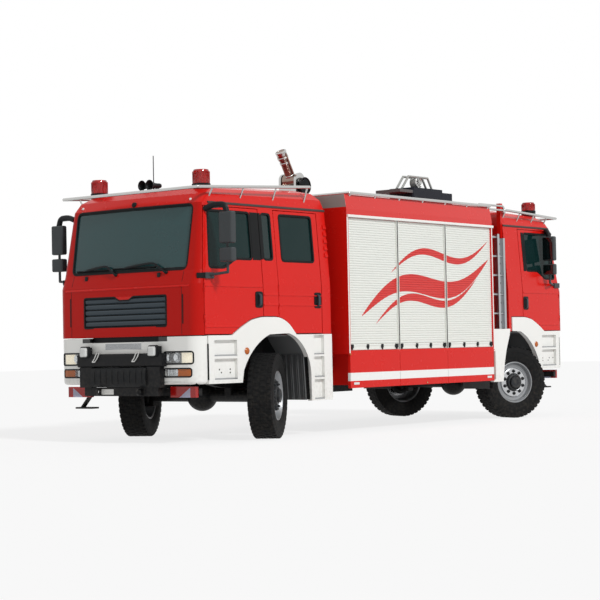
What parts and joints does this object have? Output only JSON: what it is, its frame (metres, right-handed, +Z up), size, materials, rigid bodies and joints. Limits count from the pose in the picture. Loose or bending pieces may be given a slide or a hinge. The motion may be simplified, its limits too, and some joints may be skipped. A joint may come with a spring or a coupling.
{
  "type": "fire rescue truck",
  "caption": "Two-ended fire rescue truck with a crew cab in front, a shuttered equipment body and a shorter cab facing rearward; both axles steer.",
  "frame": {"origin": "on the ground, under the middle of the truck's length and width", "axes": "+X forward towards the crew cab, +Y to the crew cab's left, +Z up"},
  "size_m": [8.4697, 2.952, 3.6946],
  "materials": {
    "tyre": "matt",
    "wheel_steel": "polished ring, satin hub",
    "chassis_black": "satin",
    "black_paint": "satin",
    "glass": "tinted",
    "black_plastic": "matt",
    "red_paint": "gloss",
    "white_paint": "gloss",
    "shutter_aluminium": "painted slats",
    "bright_metal": "satin",
    "clear_lens": "clear",
    "red_lens": "clear red",
    "interior": "matt",
    "cast_iron": "matt",
    "monitor_metal": "satin, brown lacquer on the barrel"
  },
  "bodies": {
    "truck": {"axle_beams": "chassis_black", "body_floor": "red_paint", "body_roof": "red_paint", "body_walls": "red_paint", "bumpers": "white_paint", "cab_backs": "red_paint", "cab_floors": "red_paint", "cab_fronts": "red_paint", "cab_interiors": "interior", "cab_roofs": "red_paint", "cab_side_panels": "red_paint", "chassis_frame": "chassis_black", "fixed_glass": "glass", "grilles": "black_plastic", "hanging_steps": "bright_metal", "headlamps": "clear_lens", "ladder": "bright_metal", "leaf_springs": "chassis_black", "monitor_base": "monitor_metal", "powertrain": "cast_iron", "roof_light_box": "black_plastic", "roof_rails": "bright_metal", "roof_signals": "red_lens", "shutters": "shutter_aluminium", "side_skirts": "red_paint", "tail_lamps": "red_lens", "underbody_lockers": "black_paint", "wheel_arches": "white_paint", "wheel_liners": "black_plastic", "winch_guard": "black_plastic"},
    "front_left_door": {"front_door_left": "red_paint", "front_window_left": "glass", "front_mirror_left": "black_plastic"},
    "front_right_door": {"front_door_right": "red_paint", "front_window_right": "glass", "front_mirror_right": "black_plastic"},
    "crew_left_door": {"crew_door_left": "red_paint", "crew_window_left": "glass"},
    "crew_right_door": {"crew_door_right": "red_paint", "crew_window_right": "glass"},
    "rear_left_door": {"rear_door_left": "red_paint", "rear_window_left": "glass", "rear_mirror_left": "black_plastic"},
    "rear_right_door": {"rear_door_right": "red_paint", "rear_window_right": "glass", "rear_mirror_right": "black_plastic"},
    "steering_front_left": {"knuckle_front_left": "chassis_black"},
    "wheel_front_left": {"rim_front_left": "wheel_steel", "tyre_front_left": "tyre"},
    "steering_front_right": {"knuckle_front_right": "chassis_black"},
    "wheel_front_right": {"rim_front_right": "wheel_steel", "tyre_front_right": "tyre"},
    "steering_rear_left": {"knuckle_rear_left": "chassis_black"},
    "wheel_rear_left": {"rim_rear_left": "wheel_steel", "tyre_rear_left": "tyre"},
    "steering_rear_right": {"knuckle_rear_right": "chassis_black"},
    "wheel_rear_right": {"rim_rear_right": "wheel_steel", "tyre_rear_right": "tyre"},
    "turret": {"monitor_turret": "monitor_metal"},
    "barrel": {"monitor_barrel": "monitor_metal"}
  },
  "joints": [
    {"name": "front_left_door_hinge", "type": "hinge", "parent": "truck", "child": "front_left_door", "pos_m": [3.939, 1.14, 1.5], "axis": [0, 0, -1], "range_deg": [0, 75]},
    {"name": "front_right_door_hinge", "type": "hinge", "parent": "truck", "child": "front_right_door", "pos_m": [3.939, -1.14, 1.5], "axis": [0, 0, 1], "range_deg": [0, 75]},
    {"name": "crew_left_door_hinge", "type": "hinge", "parent": "truck", "child": "crew_left_door", "pos_m": [2.599, 1.14, 1.5], "axis": [0, 0, -1], "range_deg": [0, 75]},
    {"name": "crew_right_door_hinge", "type": "hinge", "parent": "truck", "child": "crew_right_door", "pos_m": [2.599, -1.14, 1.5], "axis": [0, 0, 1], "range_deg": [0, 75]},
    {"name": "rear_left_door_hinge", "type": "hinge", "parent": "truck", "child": "rear_left_door", "pos_m": [-4.069, 1.14, 1.5], "axis": [0, 0, 1], "range_deg": [0, 75]},
    {"name": "rear_right_door_hinge", "type": "hinge", "parent": "truck", "child": "rear_right_door", "pos_m": [-4.069, -1.14, 1.5], "axis": [0, 0, -1], "range_deg": [0, 75]},
    {"name": "front_left_steer", "type": "hinge", "parent": "truck", "child": "steering_front_left", "pos_m": [2.735, 0.92, 0.515], "axis": [0, 0, 1], "range_deg": [-61, 5]},
    {"name": "front_right_steer", "type": "hinge", "parent": "truck", "child": "steering_front_right", "pos_m": [2.735, -0.92, 0.515], "axis": [0, 0, 1], "range_deg": [-61, 5]},
    {"name": "front_left_roll", "type": "hinge", "parent": "steering_front_left", "child": "wheel_front_left", "pos_m": [2.68805, 1.00829, 0.515], "axis": [-0.4695, 0.8829, 0], "continuous": true},
    {"name": "front_right_roll", "type": "hinge", "parent": "steering_front_right", "child": "wheel_front_right", "pos_m": [2.78195, -1.00829, 0.515], "axis": [-0.4695, 0.8829, 0], "continuous": true},
    {"name": "rear_left_steer", "type": "hinge", "parent": "truck", "child": "steering_rear_left", "pos_m": [-2.865, 0.92, 0.515], "axis": [0, 0, 1], "range_deg": [-8, 58]},
    {"name": "rear_right_steer", "type": "hinge", "parent": "truck", "child": "steering_rear_right", "pos_m": [-2.865, -0.92, 0.515], "axis": [0, 0, 1], "range_deg": [-8, 58]},
    {"name": "rear_left_roll", "type": "hinge", "parent": "steering_rear_left", "child": "wheel_rear_left", "pos_m": [-2.82274, 1.01063, 0.515], "axis": [0.4226, 0.9063, 0], "continuous": true},
    {"name": "rear_right_roll", "type": "hinge", "parent": "steering_rear_right", "child": "wheel_rear_right", "pos_m": [-2.90726, -1.01063, 0.515], "axis": [0.4226, 0.9063, 0], "continuous": true},
    {"name": "monitor_pan", "type": "hinge", "parent": "truck", "child": "turret", "pos_m": [0.885, 0, 3.15], "axis": [0, 0, 1], "range_deg": [-170, 170]},
    {"name": "monitor_tilt", "type": "hinge", "parent": "turret", "child": "barrel", "pos_m": [0.885, 0, 3.29], "axis": [0, -1, 0], "range_deg": [-74, 21]}
  ],
  "couplings": [
    {"joint": "front_right_steer", "follows": "front_left_steer", "ratio": 1},
    {"joint": "rear_right_steer", "follows": "rear_left_steer", "ratio": 1}
  ]
}
